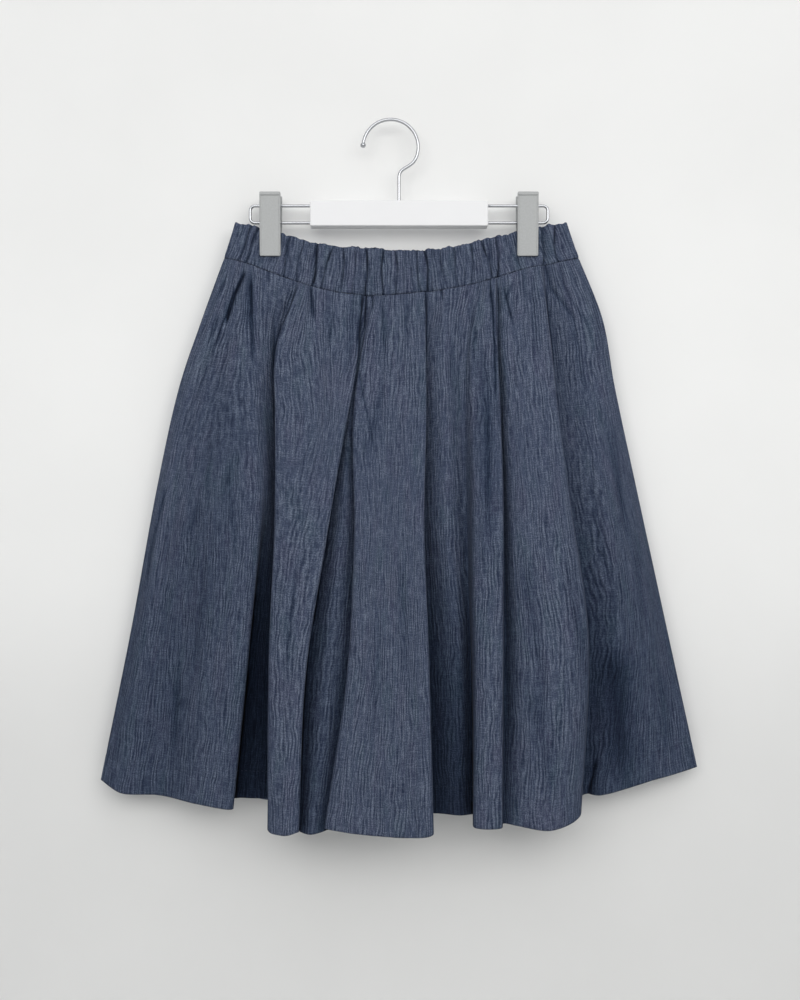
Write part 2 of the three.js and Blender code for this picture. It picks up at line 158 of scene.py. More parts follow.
# Each fold of a panel from the left side to the right, at six stations from seam to hem: where
# it lies across the panel and how far out, and the height of the hem there. The sides of both
# panels lie SIDE out from the middle, where they meet.
STATIONS = [0, 0.12, 0.25, 0.45, 0.7, 1]
SIDE = 0.65
Fold = namedtuple("Fold", "name x out hem")
FRONT_FOLDS = [Fold(*row) for row in (
    ("left side", [-177, -200, -223, -246, -270, -302], [SIDE] * 6, -667),
    ("side swell", [-169, -187, -210, -234, -255, -279], [4, 10, 12, 13, 14, 14], -677),
    ("side valley", [-159, -174, -193, -214, -225, -242], [6, 6, 7, 8, 9, 10], -680),
    ("L crown", [-154, -162, -167, -174, -181, -198], [7, 12, 18, 24, 29, 32], -684),
    ("L edge", [-150, -149, -146, -139, -149, -165], [8, 14, 20, 26, 33, 36], -688),
    ("A under L", [-142, -141, -138, -133, -151, -169], [8, 12, 17, 20, 13, 11], -684),
    ("A floor", [-125, -131, -131, -126, -137, -149], [8, 9, 11, 11, 9, 8], -684),
    ("A under P", [-104, -118, -118, -116, -121, -122], [6, 3, 3, 4, 6, 8], -688),
    ("P left edge", [-99, -122, -122, -121, -126, -127], [8, 16, 26, 38, 48, 55], -702),
    ("P crease", [-87, -86, -81, -97, -108, -114], [6, 15, 30, 45, 56, 62], -705),
    ("P crown", [-60, -63, -66, -84, -99, -106], [9, 20, 33, 47, 58, 63], -705),
    ("P right edge", [-38, -42, -53, -70, -90, -98], [9, 20, 33, 46, 57, 61], -703),
    ("B under P", [-35, -45, -56, -73, -92, -99], [6, 11, 17, 24, 32, 42], -707),
    ("B ridge", [-32, -41, -49, -57, -69, -86], [7, 12, 20, 32, 42, 50], -709),
    ("B under C", [-29, -37, -43, -42, -48, -71], [6, 11, 17, 26, 36, 46], -706),
    ("C left edge", [-25, -38, -45, -43, -49, -71], [8, 15, 26, 41, 53, 58], -701),
    ("C left face", [-12, -16, -17, -19, -20, -33], [8, 16, 27, 42, 56, 64], -705),
    ("C crown", [11, 11, 10, 6, 9, 6], [9, 20, 33, 47, 60, 68], -706),
    ("C right edge", [26, 26, 26, 24, 28, 32], [9, 21, 34, 48, 62, 70], -703),
    ("D under C", [31, 25, 23, 21, 25, 29], [6, 10, 15, 20, 24, 28], -695),
    ("D ridge", [48, 45, 46, 47, 58, 61], [8, 16, 25, 33, 35, 34], -694),
    ("D valley", [78, 68, 65, 67, 71, 75], [6, 10, 15, 21, 26, 29], -695),
    ("E left edge", [85, 75, 75, 75, 75, 73], [8, 16, 28, 42, 54, 62], -699),
    ("E right edge", [96, 97, 99, 100, 99, 97], [9, 20, 32, 45, 57, 64], -699),
    ("F under E", [100, 98, 101, 103, 104, 101], [6, 11, 19, 28, 38, 50], -698),
    ("F left rise", [105, 104, 109, 112, 118, 116], [8, 17, 29, 40, 51, 60], -698),
    ("F crown", [124, 126, 129, 137, 149, 146], [9, 20, 33, 47, 60, 67], -699),
    ("F shoulder", [141, 149, 155, 168, 183, 174], [9, 17, 27, 38, 45, 50], -692),
    ("G floor", [147, 151, 158, 172, 191, 185], [5, 6, 8, 10, 12, 11], -680),
    ("H rise", [162, 181, 190, 206, 221, 204], [9, 14, 15, 16, 17, 16], -679),
    ("H face", [174, 196, 207, 226, 250, 250], [5, 9, 10, 11, 12, 12], -667),
    ("right side", [182, 206, 218, 240, 268, 302], [SIDE] * 6, -653),
)]
BACK_FOLDS = [Fold(*row) for row in (
    ("left side", [-177, -200, -223, -246, -270, -302], [-SIDE] * 6, -667),
    ("ridge 1", [-162, -180, -202, -223, -245, -268], [-5, -8, -9, -10, -11, -12], -674),
    ("valley 1", [-142, -153, -166, -180, -198, -216], [-4, -4, -4, -4, -5, -5], -679),
    ("ridge 2", [-118, -125, -134, -144, -157, -174], [-6, -9, -11, -13, -14, -14], -684),
    ("valley 2", [-90, -93, -98, -105, -113, -122], [-5, -4, -4, -5, -5, -5], -689),
    ("ridge 3", [-62, -64, -67, -71, -77, -84], [-7, -10, -12, -13, -14, -15], -693),
    ("valley 3", [-30, -31, -32, -33, -35, -38], [-6, -5, -5, -5, -5, -5], -696),
    ("ridge 4", [2, 2, 3, 4, 5, 6], [-7, -10, -12, -13, -14, -15], -697),
    ("valley 4", [34, 36, 39, 43, 47, 51], [-6, -5, -5, -5, -5, -5], -695),
    ("ridge 5", [62, 67, 72, 79, 87, 95], [-7, -10, -12, -13, -14, -15], -691),
    ("valley 5", [92, 99, 106, 114, 124, 136], [-5, -4, -4, -5, -5, -5], -686),
    ("ridge 6", [120, 131, 140, 151, 164, 180], [-6, -9, -11, -13, -14, -14], -678),
    ("valley 6", [145, 159, 169, 183, 202, 223], [-4, -4, -4, -4, -5, -5], -670),
    ("ridge 7", [165, 186, 200, 219, 243, 270], [-5, -8, -9, -10, -11, -12], -661),
    ("right side", [182, 206, 218, 240, 268, 302], [-SIDE] * 6, -653),
)]

# Creases pressed into the front panel: from one point to another across its face, as (x, z),
# how deep (negative for a raised ridge) and how wide
Crease = namedtuple("Crease", "x0 z0 x1 z1 depth width")
FRONT_CREASES = [Crease(*row) for row in (
    (-155, -154, -167, -180, 4.2, 1.9),
    (-166, -178, -175, -206, 4.0, 1.9),
    (-173, -154, -186, -186, 1.9, 1.3),
    (-186, -182, -200, -217, 1.2, 1.8),
    (-150, -158, -153, -212, 1.3, 4.5),
    (-89, -168, -87, -200, 3.6, 1.4),
    (-33, -174, -35, -212, 3.6, 1.4),
    (-27, -172, -27, -192, 2.6, 1.2),
    (-40, -254, -33, -294, 1.7, 1.2),
    (-33, -290, -26, -328, 1.3, 1.2),
    (-70, -182, -69, -227, 0.7, 2.2),
    (-107, -170, -116, -194, 1.6, 1.3),
    (42, -168, 44, -182, 2.2, 1.2),
    (73, -162, 71, -182, 1.4, 1.3),
    (99, -164, 101, -212, 1.8, 1.3),
    (105, -168, 114, -208, 2.4, 1.3),
    (114, -164, 107, -182, 1.6, 1.2),
    (124, -152, 128, -182, 1.0, 1.4),
    (147, -144, 154, -172, 1.6, 1.8),
    (153, -168, 175, -200, 1.5, 2.6),
    (161, -144, 168, -174, 1.3, 1.4),
    (168, -172, 192, -214, 1.0, 2.2),
    (180, -150, 198, -182, 0.9, 1.8),
    (174, -198, 187, -282, 0.9, 3.0),
    (51, -212, 57, -303, 0.8, 3.2),
    (71, -182, 79, -262, 0.8, 3.0),
    (207, -303, 234, -443, 0.7, 3.4),
    (192, -363, 214, -484, 0.8, 4.0),
    (-100, -443, -108, -544, 0.9, 3.2),
    (-170, -353, -162, -443, 0.8, 3.5),
    (-194, -443, -204, -564, 0.9, 4.0),
    (-214, -212, -224, -303, 0.9, 3.2),
    (1, -443, 9, -564, 0.7, 4.5),
    (-19, -504, -27, -624, 0.7, 4.0),
    (122, -443, 142, -584, 1.0, 5.0),
    (162, -443, 187, -574, 1.1, 5.0),
    (-176, -206, -214, -270, -1.7, 3.4),
    (-181, -196, -205, -262, 1.5, 2.6),
    (-234, -372, -248, -430, 2.6, 1.6),
    (-247, -422, -254, -470, 2.6, 1.8),
    (-126, -196, -125, -330, 1.8, 1.5),
    (-199, -385, -214, -420, 1.2, 3.6),
    (-222, -560, -226, -640, 1.4, 5.0),
    (-149, -158, -146, -250, 2.0, 2.4),
    (-72, -182, -69, -230, 1.1, 2.1),
    (-46, -182, -50, -260, 1.3, 2.8),
    (-17, -182, -14, -240, 1.5, 2.1),
    (-16, -262, -30, -340, 1.0, 4.0),
    (8, -182, 6, -225, 0.9, 2.1),
    (88, -282, 87, -400, 0.9, 2.0),
    (133, -155, 137, -250, 0.7, 3.6),
    (196, -180, 206, -230, 1.3, 2.8),
    (214, -300, 226, -420, 0.8, 5.0),
    (238, -420, 246, -520, 0.7, 4.0),
    (214, -530, 224, -668, 2.0, 15.0),
    (198, -645, 190, -684, 3.6, 2.0),
    (178, -682, 197, -655, -1.2, 1.6),
    (128, -560, 150, -672, 0.9, 9.0),
    (262, -560, 274, -640, 0.7, 6.0),
    (86, -240, 87, -440, 1.2, 8.0),
    (-168, -250, -196, -520, 0.6, 26.0),
)]
BACK_CREASES = [Crease(*row) for row in (
    (-150, -150, -166, -205, 1.2, 3.0),
    (-112, -166, -118, -230, 1.0, 3.0),
    (-64, -178, -60, -240, 0.9, 3.0),
    (-20, -178, -24, -260, 1.1, 3.2),
    (26, -176, 30, -232, 0.8, 2.8),
    (70, -168, 78, -250, 1.1, 3.0),
    (118, -156, 128, -210, 0.9, 3.0),
    (152, -148, 172, -205, 1.2, 3.2),
    (-220, -330, -236, -430, 1.2, 4.5),
    (-96, -420, -104, -540, 0.9, 6.0),
    (60, -470, 66, -600, 1.0, 6.0),
    (196, -380, 212, -500, 1.0, 5.0),
)]

# Edges where a pressed fold laps over the cloth beside it: points (x, z) down the edge, how far it
# stands, over what width, and which side is raised
Lap = namedtuple("Lap", "points lift width side")
FRONT_LAPS = [Lap(*row) for row in (
    ([(-101, -169), (-111, -197), (-118.5, -214), (-125, -236), (-127, -268)], 3.4, 13, 1),
    ([(-38, -174), (-41, -210), (-44, -240)], 2.6, 10, -1),
    ([(25, -168), (26, -210), (26, -250)], 2.4, 12, -1),
    ([(93, -160), (96, -205), (97, -250), (98, -300)], 3.2, 12, 1),
    ([(-155, -152), (-168, -180), (-177, -208), (-186, -236)], 3.0, 9, 1),
    ([(146, -172), (150, -206), (154, -246)], 2.2, 14, -1),
)]

# The crinkle of the cloth: soft ripples and fine ridges along the warp
Crinkle = namedtuple("Crinkle", "pitch_across pitch_along height")
CRINKLES = [Crinkle(*row) for row in (
    (34, 210, 0.7),
    (14, 130, 0.1),
    (6.5, 90, 0.04),
    (3.6, 40, 0.08),
)]
HEM_WAVE_PITCH = 46
HEM_WAVE_HEIGHT = 0.9

# The fine ribs of the crinkle, painted with light on their crests and shade in their grooves: how
# many a metre, and how far their lines stray, in radians
RIBS_A_METRE = 310
RIB_WANDER = 25.0
RIB_WIGGLE = 7.0

# Small puckers of the waistband: how many, and the least and most of their depth and width
PUCKERS = 80
PUCKER_DEPTH = (0.2, 0.9)
PUCKER_WIDTH = (0.8, 1.7)

# The hanger
HOOK_WIRE_RADIUS = 1.7
HOOK_RADIUS = 28
HOOK_CENTRE_X = -8.5
HOOK_TIP_ANGLE = 176
HOOK_NECK_ANGLE = -20
HOOK_BALL_RADIUS = 2.8
NECK_FOOT_Z = -56
STEM_END_Z = -95
LOOP_HALF_LENGTH = 151
LOOP_TOP_Z = -84.7
LOOP_BOTTOM_Z = -102
LOOP_WIRE_RADIUS = 1.5
LOOP_CORNER_RADIUS = 5
LOOP_END_X = 8
BAR_HALF_LENGTH = 90
BAR_BOTTOM_Z = -106.5
BAR_TOP_Z = -81.3
BAR_DEPTH = 15
BAR_CORNER = 1.6
BAR_CROWN = 0.8
BAR_EDGE = 1.2
CLIP_X = 130
CLIP_WIDTH = 21.3
CLIP_TOP_Z = -72.6
CLIP_HEIGHT = 64
CLIP_PLATE = 2.2
CLIP_JAW_OUT = 4.5
CLIP_LEAN = 3
CLIP_CORNER = 1.8
CLIP_LIP_HEIGHT = 3.6
CLIP_LIP_DEPTH = 3.1
CLIP_RIDGE_INSET = 1.0
CLIP_RIDGE_DEPTH = 2.75


def value_noise(u, v, seed):
    """Smooth noise from -1 to 1 over the plane (u, v), one lattice cell a unit."""
    cells_u, cells_v = 1024, 128
    lattice = np.random.default_rng(seed).uniform(-1, 1, (cells_u, cells_v))
    iu = np.floor(u).astype(int)
    iv = np.floor(v).astype(int)
    fu = u - iu
    fv = v - iv
    fu = fu * fu * (3 - 2 * fu)
    fv = fv * fv * (3 - 2 * fv)
    left, right = iu % cells_u, (iu + 1) % cells_u
    low, high = (
        lattice[left, line % cells_v] * (1 - fu) + lattice[right, line % cells_v] * fu
        for line in (iv, iv + 1)
    )
    return low * (1 - fv) + high * fv


def smoothstep(value, low, high):
    f = np.clip((value - low) / (high - low), 0, 1)
    return f * f * (3 - 2 * f)


def smooth_along(knots, values, at):
    """A smooth curve through values at knots, read at each number in at."""
    knots = np.asarray(knots, float)
    values = np.asarray(values, float)
    at = np.asarray(at, float)
    i = np.clip(np.searchsorted(knots, at, side="left") - 1, 0, len(knots) - 2)
    before = np.maximum(np.arange(len(knots)) - 1, 0)
    after = np.minimum(np.arange(len(knots)) + 1, len(knots) - 1)
    slope = (values[after] - values[before]) / (knots[after] - knots[before])
    span = knots[i + 1] - knots[i]
    f = np.clip((at - knots[i]) / span, 0, 1)
    rise = f * f * (3 - 2 * f)
    leave = f * (1 - f) ** 2 * span
    arrive = f * f * (f - 1) * span
    return values[i] * (1 - rise) + values[i + 1] * rise + slope[i] * leave + slope[i + 1] * arrive


def waist_at(column, x):
    return smooth_along([w.across for w in WAIST], [getattr(w, column) for w in WAIST], x)


def back_rise(side, x):
    swell = np.exp(-(((x - BACK_RISE_CENTRE) / BACK_RISE_WIDTH) ** 2))
    return BACK_RISE_HEIGHT * swell if side < 0 else 0 * swell


def section_points(folds, stations, places):
    """The panel's middle surface, x and out, for each station down and place across."""
    keys = np.empty((len(stations), len(folds) + 2, 2))
    for k, fold in enumerate(folds):
        keys[:, k + 1, 0] = smooth_along(STATIONS, fold.x, stations)
        keys[:, k + 1, 1] = smooth_along(STATIONS, fold.out, stations)
    keys[:, 0] = 2 * keys[:, 1] - keys[:, 2]
    keys[:, -1] = 2 * keys[:, -2] - keys[:, -3]
    i = np.clip(np.floor(places).astype(int), 0, len(folds) - 2)
    f = (places - i)[None, :, None]
    p0, p1, p2, p3 = (keys[:, i + shift] for shift in range(4))
    d0, d1, d2 = (
        np.sqrt(np.linalg.norm(b - a, axis=2, keepdims=True)) + 1e-6
        for a, b in ((p0, p1), (p1, p2), (p2, p3))
    )
    leave = ((p1 - p0) / d0 - (p2 - p0) / (d0 + d1) + (p2 - p1) / d1) * d1
    arrive = ((p2 - p1) / d1 - (p3 - p1) / (d1 + d2) + (p3 - p2) / d2) * d1
    square = -3 * p1 + 3 * p2 - 2 * leave - arrive
    cube = 2 * p1 - 2 * p2 + leave + arrive
    points = p1 + leave * f + square * f ** 2 + cube * f ** 3
    return points[..., 0], points[..., 1]


def arc_lengths(x, out):
    steps = np.hypot(np.diff(x), np.diff(out))
    return np.concatenate([[0], np.cumsum(steps)])


def even_places(folds, columns):
    """Places across a panel that lie evenly along its section near the hem."""
    dense = np.linspace(0, len(folds) - 1, 6000)
    x, out = section_points(folds, np.array([0.75]), dense)
    length = arc_lengths(x[0], out[0])
    return np.interp(np.linspace(0, length[-1], columns), length, dense)


def normals_of(x, out):
    """The section's normals towards the front, as (x, out), in each row of a grid."""
    along_x = np.gradient(x, axis=1)
    along_out = np.gradient(out, axis=1)
    length = np.hypot(along_x, along_out) + 1e-9
    return -along_out / length, along_x / length


def crease_depth(x, z, creases):
    """How deep the creases press in at points of the face, each tapering to its ends."""
    depth = np.zeros_like(x)
    for c in creases:
        run = np.array([c.x1 - c.x0, c.z1 - c.z0], float)
        length = np.hypot(*run)
        run /= length
        along = ((x - c.x0) * run[0] + (z - c.z0) * run[1]) / length
        aside = (x - c.x0) * run[1] - (z - c.z0) * run[0]
        taper = smoothstep(along, -0.12, 0.2) * (1 - smoothstep(along, 0.7, 1.15))
        depth += c.depth * np.exp(-((aside / c.width) ** 2)) * taper
    return depth


def lap_lift(x, z, laps):
    """How far the lapped edges stand out at points of the face, and how much shade is painted in
    the gap beside each.
    """
    lift = np.zeros_like(x)
    gap = np.zeros_like(x)
    for lap in laps:
        edge_x, edge_z = np.array(lap.points, float).T
        aside = (x - np.interp(-z, -edge_z, edge_x)) * lap.side
        along = (edge_z[0] - z) / (edge_z[0] - edge_z[-1])
        taper = smoothstep(along, -0.12, 0.12) * (1 - smoothstep(along, 0.72, 1.1))
        falloff = np.where(aside > 0, lap.width, 0.8)
        lift += lap.lift * taper * np.exp(-((aside / falloff) ** 2))
        gap = np.maximum(gap, taper * np.exp(-(((aside + 1.4) / 1.3) ** 2)))
    return lift, gap


def openness(x, out, side):
    """How open each point is to the front, from 1 on a free face to 0 deep in a fold."""
    shares = []
    for row_x, row_out in zip(x, side * out):
        apart = row_x[None, :] - row_x[:, None]
        slope = (row_out[None, :] - row_out[:, None]) / np.maximum(np.abs(apart), 0.6)
        slope = np.where(np.abs(apart) > 90, 0, slope)
        left = np.where(apart < 0, slope, 0).max(axis=1).clip(0)
        right = np.where(apart > 0, slope, 0).max(axis=1).clip(0)
        shares.append(0.5 / np.hypot(1, left) + 0.5 / np.hypot(1, right))
    return np.array(shares)


def shade_layer(painted_light_share):
    """The painted shade, as the share of light the cloth's colour keeps, in the first coordinate of
    a UV layer for the cloth's material.
    """
    return np.stack([painted_light_share, np.full_like(painted_light_share, 0.5)], -1)


def crinkle(u, v, strength, seed):
    """The cloth's crinkle, in millimetres along the normal."""
    sway = 2.2 * value_noise(u / 60, v / 90, seed + 90)
    height = np.zeros_like(u)
    for k, c in enumerate(CRINKLES):
        cells_across = (u + sway) / c.pitch_across * 2
        height += c.height * value_noise(cells_across, v / c.pitch_along * 2, seed + k)
    return height * strength


def placed(name, data):
    """A new object in the scene, for a mesh, a light or a lens."""
    item = bpy.data.objects.new(name, data)
    bpy.context.scene.collection.objects.link(item)
    return item


def closed_shell(name, near, far, uvs):
    """A closed thin body from its near and far faces, as grids of points (rows, columns, 3).

    The far face has every second row, and the sides between them are closed by wider faces.
    """
    rows, columns = near.shape[:2]
    assert rows % 2 == 1
    far = far[::2]
    vertices = np.concatenate([near.reshape(-1, 3), far.reshape(-1, 3)]) * MM
    index = np.arange(rows * columns).reshape(rows, columns)
    other = np.arange(far.shape[0] * columns).reshape(-1, columns) + rows * columns

    def quads(a, b, c, d):
        return np.stack([a, b, c, d], -1).reshape(-1, 4)

    faces = np.concatenate([
        quads(index[:-1, :-1], index[1:, :-1], index[1:, 1:], index[:-1, 1:]),
        quads(other[:-1, :-1], other[:-1, 1:], other[1:, 1:], other[1:, :-1]),
        quads(index[0, :-1], index[0, 1:], other[0, 1:], other[0, :-1]),
        quads(other[-1, :-1], other[-1, 1:], index[-1, 1:], index[-1, :-1]),
    ])
    low_side = [index[:-2:2, 0], other[:-1, 0], other[1:, 0], index[2::2, 0], index[1:-1:2, 0]]
    high_side = [
        index[:-2:2, -1], index[1:-1:2, -1], index[2::2, -1], other[1:, -1], other[:-1, -1],
    ]
    wide = np.concatenate([np.stack(low_side, -1), np.stack(high_side, -1)])
    corners = np.concatenate([faces.ravel(), wide.ravel()])
    starts = np.concatenate([np.arange(len(faces)) * 4, faces.size + np.arange(len(wide)) * 5])
    mesh = bpy.data.meshes.new(name)
    mesh.vertices.add(len(vertices))
    mesh.vertices.foreach_set("co", vertices.ravel())
    mesh.loops.add(corners.size)
    mesh.loops.foreach_set("vertex_index", corners)
    mesh.polygons.add(len(starts))
    mesh.polygons.foreach_set("loop_start", starts)
    for layer_name, grid in uvs.items():
        both = np.concatenate([grid.reshape(-1, 2), grid[::2].reshape(-1, 2)])
        layer = mesh.uv_layers.new(name=layer_name)
        layer.data.foreach_set("uv", both[corners].ravel())
    mesh.update(calc_edges=True)
    mesh.validate()
    mesh.shade_smooth()
    return placed(name, mesh)


def panel_grid(folds, side, rows, columns, creases, laps, seed):
    """The middle surface of a panel with its crinkle, and what else its shell is made from, with
    the painted shade of its folds, creases and laps in the open UV layer.
    """
    places = even_places(folds, columns)
    hem_top = 1 - HEM_TURN / SKIRT_LENGTH
    free = rows - SEAM_ROWS - HEM_ROWS
    upper = free * 6 // 10
    stations = np.concatenate([
        np.linspace(0, SEAM_SHARE, SEAM_ROWS + 1)[:-1],
        np.linspace(SEAM_SHARE, UPPER_SHARE, upper + 1)[:-1],
        np.linspace(UPPER_SHARE, hem_top - 0.004, free - upper),
        np.linspace(hem_top, 1, HEM_ROWS),
    ])
    x, out = section_points(folds, stations, places)
    seam_x = section_points(folds, np.array([0.0]), places)[0]
    hem = smooth_along(np.arange(len(folds)), [f.hem for f in folds], places)
    seam = waist_at("seam", seam_x) + back_rise(side, seam_x) - SEAM_GAP
    z = seam + (hem - seam) * stations[:, None]
    cut_hem, cut_top = (
        arc_lengths(*(line[0] for line in section_points(folds, np.array([station]), places)))
        for station in (1.0, 0.1)
    )
    u = np.broadcast_to(cut_hem, x.shape)
    u_top = np.broadcast_to(cut_top, x.shape)
    v = np.broadcast_to((stations * SKIRT_LENGTH)[:, None], x.shape)
    top_share = 1 - smoothstep(v, 60, 300)
    bumps = crinkle(u, v, 1 - top_share, seed) + crinkle(u_top, v, 0.85 * top_share, seed + 20)
    edge = np.minimum(cut_hem, cut_hem[-1] - cut_hem)
    bumps *= (0.15 + 0.85 * smoothstep(v, 0, 26)) * smoothstep(edge, 0, 16)
    normal_x, normal_out = normals_of(x, out)
    facing = np.clip(normal_out, 0, 1) ** 1.5
    pressed = crease_depth(x, z, creases) * facing
    lift, gap = lap_lift(x, z, laps)
    lift *= facing
    foremost = (side * out).max(axis=1, keepdims=True)
    forward = smoothstep(side * out / foremost, 0.1, 0.85)
    # Painted shade: the colour is darkened deep in folds, more towards the hem, on cloth lying back
    # from the foremost folds, in creases and in the gaps beside laps; the material multiplies it in
    # from the open UV layer
    painted_light_share = openness(x, out, side) ** (0.45 + 1.35 * smoothstep(v, 140, 470))
    painted_light_share *= 1 - RECESS_SHADE * smoothstep(foremost, 44, 69) * (1 - forward)
    painted_light_share *= 1 - CREASE_SHADE * np.clip(pressed / CREASE_FULL_DEPTH, 0, 1)
    painted_light_share *= 1 - LAP_SHADE * gap
    x = x + normal_x * bumps
    out = out + normal_out * bumps + side * (lift - pressed)
    low = smoothstep(v, SKIRT_LENGTH - 60, SKIRT_LENGTH)
    z = z + HEM_WAVE_HEIGHT * low * value_noise(u / HEM_WAVE_PITCH, 0 * u, seed + 40)
    cuts = {
        "cut": np.stack([u * MM, v * MM], -1),
        "cut_top": np.stack([u_top * MM, v * MM], -1),
        "open": shade_layer(painted_light_share),
    }
    return x, out, z, v, cuts


def panel_piece(name, folds, side, rows, columns, creases, laps, seed):
    """A panel of the skirt and its outer face, with a thicker wall at the turned hem."""
    x, out, z, v, cuts = panel_grid(folds, side, rows, columns, creases, laps, seed)
    normal_x, normal_out = normals_of(x, out)
    half = CLOTH_WALL / 2
    from_side = np.minimum(np.arange(columns), np.arange(columns)[::-1]) / 20
    extra = (HEM_WALL - CLOTH_WALL) * np.clip(from_side, 0, 1)
    doubled = smoothstep(v, SKIRT_LENGTH - HEM_TURN - 2, SKIRT_LENGTH - HEM_TURN)
    rounded = np.sqrt(np.clip((v + 0.8) / 6, 0.05, 1))
    outside = half * rounded
    inside = (half + extra * doubled) * rounded
    stitch_dip = STITCH_DIP * np.exp(-(((v - SKIRT_LENGTH + HEM_TURN) / 1.8) ** 2))
    outside = outside - stitch_dip
    near_offset, far_offset = (outside, inside) if side > 0 else (inside, outside)
    near = np.stack([x + normal_x * near_offset, -(out + normal_out * near_offset), z], -1)
    far = np.stack([x - normal_x * far_offset, -(out - normal_out * far_offset), z], -1)
    return closed_shell(name, near, far, cuts), near if side > 0 else far


def band_surface(folds, side, across, up):
    """The middle of the waistband at shares across and up it: x and out, and how deep the gathers
    and puckers draw it in, which also sets their painted shade.
    """
    seam_keys = [fold.x[0] for fold in folds]
    left = seam_keys[0] + (WAIST_TOP_LEFT - seam_keys[0]) * up
    right = seam_keys[-1] + (WAIST_TOP_RIGHT - seam_keys[-1]) * up
    x = left + (right - left) * across
    seam_out = side * smooth_along(seam_keys, [fold.out[0] for fold in folds], x)
    base = seam_out + (waist_at("top_out", x) - seam_out) * smoothstep(up, 0, 0.3)
    edge = smoothstep(np.minimum(across, 1 - across), 0, 0.05)
    wander = RIPPLE_WANDER * np.sin(x / RIPPLE_WANDER_PITCH * 2 * np.pi)
    phase = (x + wander + RIPPLE_DRIFT * up * side) / RIPPLE_PITCH * 2 * np.pi
    out = base + RIPPLE_HEIGHT * np.sin(phase) * edge
    slant = x - 6 * up * np.sign(x)
    out = out + 0.5 * value_noise(slant / 3.1, up * 1.4, SEED + 61) * edge
    out = out + 0.3 * value_noise(slant / 1.7, up * 2.2, SEED + 62) * edge
    drawn = 0 * out
    for g in GATHERS:
        bend = 1.2 * np.sin(up * 5 + g.seam_x)
        centre = side * (g.seam_x + (g.top_x - g.seam_x) * up + bend)
        fade = 0.6 + 0.4 * np.cos(up * np.pi * 1.3) ** 2
        groove = np.exp(-(((x - centre) / (0.55 * g.width)) ** 2))
        drawn = drawn + 2.0 * g.depth * fade * groove * edge
    dice = np.random.default_rng(SEED + 80 + side)
    for _ in range(PUCKERS):
        spot = dice.uniform(-176, 180)
        centre = spot + (dice.uniform(-4, 4) - 0.045 * spot) * (up - 0.5)
        middle = dice.choice([0.0, 1.0, 0.85, 0.5])
        reach = dice.uniform(0.3, 0.6)
        depth = dice.uniform(*PUCKER_DEPTH) * np.exp(-(((up - middle) / reach) ** 2))
        drawn = drawn + depth * np.exp(-(((x - centre) / dice.uniform(*PUCKER_WIDTH)) ** 2)) * edge
    sunk = drawn * (0.45 + 0.55 * smoothstep(up, 0, 0.14))
    return x, side * np.maximum(out - sunk, SIDE_OUT), drawn


def band_piece(name, folds, side, rows, columns):
    """Half of the waistband, with its scalloped top edge, its puckered seam, and painted shade in
    its folds and gathers.
    """
    across = np.broadcast_to(np.linspace(0, 1, columns), (rows, columns))
    up = np.broadcast_to(np.linspace(1, 0, rows)[:, None], (rows, columns))
    x, out, drawn = band_surface(folds, side, across, up)
    scallop = 0.9 * value_noise(x / 4.2, 0 * x, SEED + 71)
    scallop += 0.5 * value_noise(x / 2, 0 * x, SEED + 72)
    level = waist_at("seam", x) + (waist_at("top", x) - waist_at("seam", x)) * up
    z = level + back_rise(side, x) + scallop * smoothstep(up, 0.75, 1)
    pucker = 0.35 * value_noise(x / 3.3, 0 * x, SEED + 73)
    z = z + pucker * (1 - smoothstep(up, 0, 0.12))
    normal_x, normal_out = normals_of(x, out)
    top_round = np.sqrt(np.clip((1 - up) / 0.06, 0.02, 1))
    seam_round = np.sqrt(np.clip((up + 0.006) / 0.07, 0.05, 1))
    half = BAND_HALF_WALL * np.minimum(top_round, seam_round)
    near = np.stack([x + normal_x * half, -(out + normal_out * half), z], -1)
    far = np.stack([x - normal_x * half, -(out - normal_out * half), z], -1)
    length = arc_lengths(x[rows // 2], out[rows // 2])
    cut = np.stack([np.broadcast_to(length * MM, x.shape), (1 - up) * BAND_HEIGHT * MM], -1)
    # Painted shade: the band's colour is darkened deep in its folds and in its gathers and puckers,
    # through the open UV layer
    painted_gather_shade = GATHER_SHADE * np.clip(drawn / GATHER_FULL_DEPTH, 0, 1)
    painted_light_share = openness(x, out, side) ** 1.1 * (1 - painted_gather_shade)
    layers = {"cut": cut, "cut_top": cut, "open": shade_layer(painted_light_share)}
    return closed_shell(name, near, far, layers)


def capped_faces(rings, count):
    """The faces of a bar made of rings of count points each, and of its two ends."""
    faces = []
    for start in range(0, (rings - 1) * count, count):
        for k in range(count):
            after = (k + 1) % count
            faces.append((start + k, start + after, start + count + after, start + count + k))
    last = (rings - 1) * count
    return faces + [tuple(reversed(range(count))), tuple(last + k for k in range(count))]


def stitch_row(name, row):
    """Small stitches lying along a row of points, joined in one mesh."""
    steps = np.linalg.norm(np.diff(row, axis=0), axis=1)
    distance = np.concatenate([[0], np.cumsum(steps)])
    starts = np.arange(STITCH_PITCH, distance[-1] - STITCH_PITCH, STITCH_PITCH)
    vertices = []
    faces = []
    sides = 5
    for start in starts:
        ends = [
            np.array([np.interp(at, distance, row[:, k]) for k in range(3)])
            for at in (start, start + STITCH_LENGTH)
        ]
        run = ends[1] - ends[0]
        run /= np.linalg.norm(run)
        up = np.array([0, 0, 1.0])
        outward = np.cross(run, up)
        outward /= np.linalg.norm(outward)
        base = len(vertices)
        for end in ends:
            for k in range(sides):
                angle = 2 * np.pi * k / sides
                outward_share = np.cos(angle) * STITCH_RADIUS + STITCH_LIFT
                ring = outward * outward_share + up * np.sin(angle) * STITCH_RADIUS
                vertices.append((end + ring) * MM)
        faces += [tuple(base + i for i in face) for face in capped_faces(2, sides)]
    return piece_from(name, vertices, faces)


def piece_from(name, vertices, faces, smooth=False):
    mesh = bpy.data.meshes.new(name)
    mesh.from_pydata([tuple(v) for v in vertices], [], faces)
    mesh.validate()
    if smooth:
        mesh.shade_smooth()
    return placed(name, mesh)


